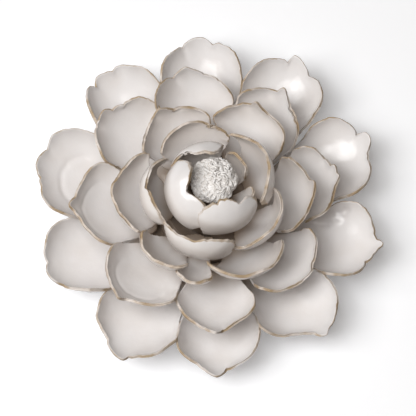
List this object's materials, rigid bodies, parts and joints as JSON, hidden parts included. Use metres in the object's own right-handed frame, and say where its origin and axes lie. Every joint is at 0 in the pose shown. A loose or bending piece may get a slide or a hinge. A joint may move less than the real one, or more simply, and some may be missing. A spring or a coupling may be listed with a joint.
{
  "type": "ceramic wall flower",
  "caption": "Hand-built ivory glazed ceramic flower with cupped overlapping petals around a curled bud; lies flat or hangs on a wall by a keyhole in its back.",
  "frame": {"origin": "centre of the slab's flat back face", "axes": "+Z along the flower's axis, away from the wall; +Y up on the wall, the way the keyhole's slot runs; +X to the right when the flower is looked at"},
  "size_m": [0.1517, 0.1577, 0.0608],
  "materials": {
    "ivory_glaze": "glossy ivory glaze, breaking to tan along thin rims, pooling in hollows",
    "bare_clay": "dry unglazed stoneware",
    "stamen_glaze": "thin satin glaze over rough clay threads"
  },
  "bodies": {
    "root": {"back_slab": "bare_clay", "hollow_mound": "ivory_glaze", "stamen_clump": "stamen_glaze", "outer_petal_01": "ivory_glaze", "outer_petal_02": "ivory_glaze", "outer_petal_03": "ivory_glaze", "outer_petal_04": "ivory_glaze", "outer_petal_05": "ivory_glaze", "outer_petal_06": "ivory_glaze", "outer_petal_07": "ivory_glaze", "outer_petal_08": "ivory_glaze", "outer_petal_09": "ivory_glaze", "outer_petal_10": "ivory_glaze", "second_petal_01": "ivory_glaze", "second_petal_02": "ivory_glaze", "second_petal_03": "ivory_glaze", "second_petal_04": "ivory_glaze", "second_petal_05": "ivory_glaze", "second_petal_06": "ivory_glaze", "second_petal_07": "ivory_glaze", "second_petal_08": "ivory_glaze", "third_petal_01": "ivory_glaze", "third_petal_02": "ivory_glaze", "third_petal_03": "ivory_glaze", "third_petal_04": "ivory_glaze", "third_petal_05": "ivory_glaze", "third_petal_06": "ivory_glaze", "third_petal_07": "ivory_glaze", "bud_petal_01": "ivory_glaze", "bud_petal_02": "ivory_glaze", "bud_petal_03": "ivory_glaze", "bud_petal_04": "ivory_glaze", "bud_petal_05": "ivory_glaze", "heart_petal_01": "ivory_glaze", "heart_petal_02": "ivory_glaze", "heart_petal_03": "ivory_glaze", "heart_petal_04": "ivory_glaze", "heart_petal_05": "ivory_glaze"}
  },
  "joints": []
}
